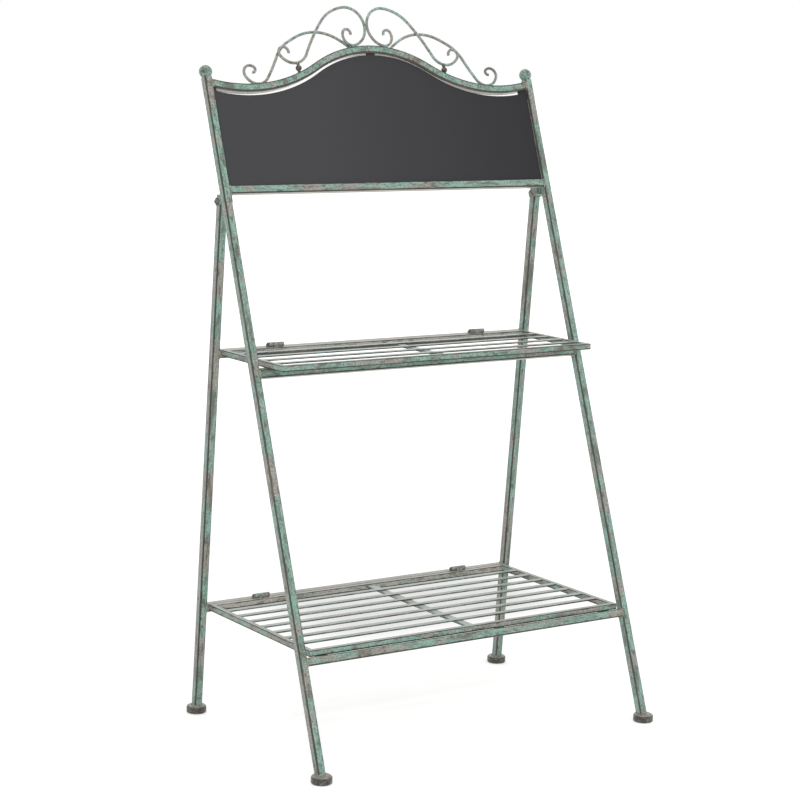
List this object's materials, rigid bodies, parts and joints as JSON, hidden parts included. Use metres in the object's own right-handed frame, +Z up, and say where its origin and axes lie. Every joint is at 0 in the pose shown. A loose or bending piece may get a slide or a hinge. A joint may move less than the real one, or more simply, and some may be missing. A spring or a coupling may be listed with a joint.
{
  "type": "plant stand",
  "caption": "Folding metal plant stand with slatted shelves, a chalkboard sign and scrollwork along the arched top.",
  "frame": {"origin": "centre of the bounding box, on the floor under the feet", "axes": "+Z up, +Y to the back, +X to the right seen from the front"},
  "size_m": [0.6374, 0.4264, 1.1235],
  "materials": {
    "verdigris_paint": "matte distressed blue-green over dark bronze",
    "bronze_paint": "satin dark bronze with worn patches",
    "chalkboard_paint": "matte charcoal",
    "glide_plastic": "matte, pale"
  },
  "bodies": {
    "front_frame": {"arch_rail": "verdigris_paint", "board_rail": "verdigris_paint", "chalkboard": "chalkboard_paint", "finial_left": "verdigris_paint", "finial_right": "verdigris_paint", "front_foot_glides": "glide_plastic", "front_foot_left": "bronze_paint", "front_foot_right": "bronze_paint", "front_leg_left": "verdigris_paint", "front_leg_right": "verdigris_paint", "inner_scroll_left": "verdigris_paint", "inner_scroll_right": "verdigris_paint", "lower_front_bar": "verdigris_paint", "lower_rest_lugs": "verdigris_paint", "outer_scroll_left": "verdigris_paint", "outer_scroll_right": "verdigris_paint", "pivot_bolt_left": "bronze_paint", "pivot_bolt_right": "bronze_paint", "pivot_bracket_left": "verdigris_paint", "pivot_bracket_right": "verdigris_paint", "pivot_nut_left": "bronze_paint", "pivot_nut_right": "bronze_paint", "scroll_bead_left": "bronze_paint", "scroll_bead_right": "bronze_paint", "scroll_blocks": "verdigris_paint", "upper_front_bar": "verdigris_paint", "upper_rest_lugs": "verdigris_paint"},
    "rear_frame": {"lower_hinge_bar_knuckles": "verdigris_paint", "lower_hinge_pins": "bronze_paint", "lower_rear_bar": "verdigris_paint", "rear_foot_glides": "glide_plastic", "rear_foot_left": "bronze_paint", "rear_foot_right": "bronze_paint", "rear_leg_left": "verdigris_paint", "rear_leg_right": "verdigris_paint", "upper_hinge_bar_knuckles": "verdigris_paint", "upper_hinge_pins": "bronze_paint", "upper_rear_bar": "verdigris_paint"},
    "lower_shelf": {"lower_hinge_shelf_knuckles": "verdigris_paint", "lower_shelf_front_rail": "verdigris_paint", "lower_shelf_left_rail": "verdigris_paint", "lower_shelf_rear_rail": "verdigris_paint", "lower_shelf_right_rail": "verdigris_paint", "lower_shelf_slats": "verdigris_paint", "lower_shelf_strut": "verdigris_paint"},
    "upper_shelf": {"upper_hinge_shelf_knuckles": "verdigris_paint", "upper_shelf_front_rail": "verdigris_paint", "upper_shelf_left_rail": "verdigris_paint", "upper_shelf_rear_rail": "verdigris_paint", "upper_shelf_right_rail": "verdigris_paint", "upper_shelf_slats": "verdigris_paint", "upper_shelf_strut": "verdigris_paint"}
  },
  "joints": [
    {"name": "frame_fold", "type": "hinge", "parent": "front_frame", "child": "rear_frame", "pos_m": [0, 0.12697, 0.8241], "axis": [-1, 0, 0], "range_deg": [0, 24.6]},
    {"name": "lower_shelf_lift", "type": "hinge", "parent": "rear_frame", "child": "lower_shelf", "pos_m": [0, 0.17409, 0.1855], "axis": [-1, 0, 0], "range_deg": [0, 85.1]},
    {"name": "upper_shelf_lift", "type": "hinge", "parent": "rear_frame", "child": "upper_shelf", "pos_m": [0, 0.13899, 0.5974], "axis": [-1, 0, 0], "range_deg": [0, 85.1]}
  ]
}
